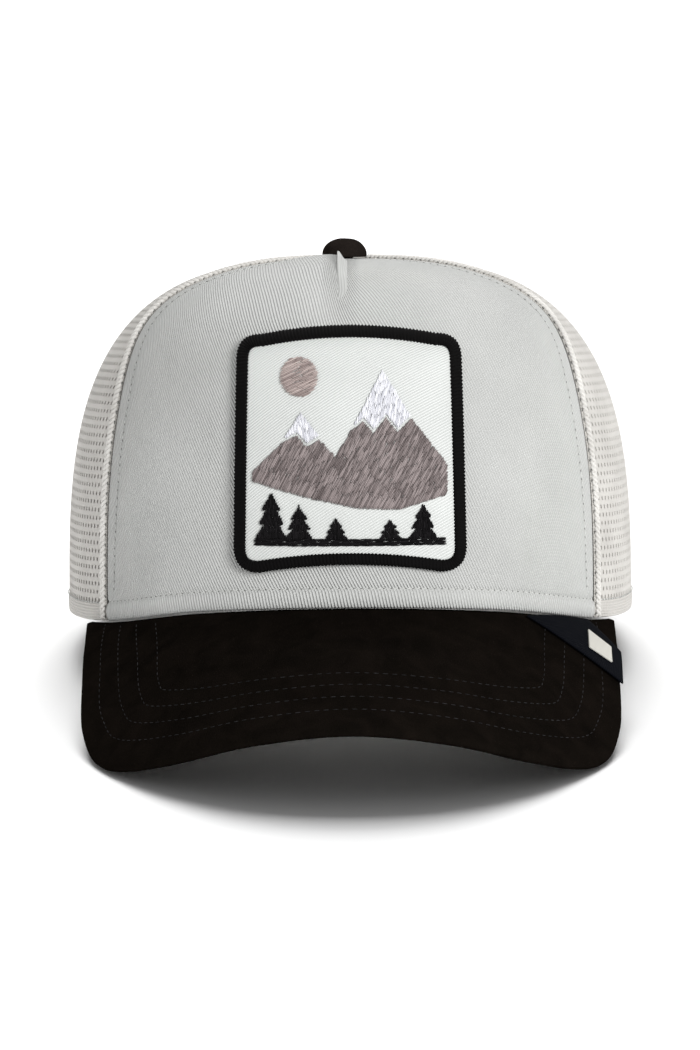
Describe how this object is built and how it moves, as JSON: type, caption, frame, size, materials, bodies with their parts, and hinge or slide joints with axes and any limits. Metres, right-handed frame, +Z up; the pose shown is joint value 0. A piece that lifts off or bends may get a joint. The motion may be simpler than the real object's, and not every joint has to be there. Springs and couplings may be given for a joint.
{
  "type": "trucker hat",
  "caption": "Trucker hat with a padded twill front, mesh sides and back, curved suede brim, framed front patch and snap strap.",
  "frame": {"origin": "on the surface that the hat rests on, below the centre of its bounding box", "axes": "+Z up, -Y the way the front and brim face, +X the right side as seen from the front"},
  "size_m": [0.1766, 0.2686, 0.1288],
  "materials": {
    "twill": "pale grey cotton twill, matte, over padding",
    "mesh": "pale warm grey knitted mesh, matte",
    "binding_tape": "pale grey woven tape, matte",
    "sweatband": "pale grey brushed cotton, matte",
    "suede": "black suede, napped, very matte",
    "label_ribbon": "near-black woven ribbon, faint sheen",
    "label_plate": "pale woven tab, blank",
    "patch_border": "black overlocked thread",
    "patch_field": "pale grey twill, matte",
    "thread_rose": "dusty rose embroidery thread, satin",
    "thread_taupe": "taupe embroidery thread, satin",
    "thread_white": "white embroidery thread, satin",
    "thread_black": "black embroidery thread, satin",
    "strap_plastic": "black moulded plastic, satin"
  },
  "bodies": {
    "root": {"front_panel": "twill", "mesh_side_left": "mesh", "mesh_side_right": "mesh", "mesh_back_left": "mesh", "mesh_back_right": "mesh", "arch_binding": "binding_tape", "sweatband": "sweatband", "top_button": "suede", "brim": "suede", "brim_label": "label_ribbon", "brim_label_plate": "label_plate", "patch_border": "patch_border", "patch_field": "patch_field", "patch_sun": "thread_rose", "patch_mountain": "thread_taupe", "patch_snow_high": "thread_white", "patch_snow_low": "thread_white", "patch_pines": "thread_black", "strap_with_pegs": "strap_plastic", "strap_with_holes": "strap_plastic"}
  },
  "joints": []
}
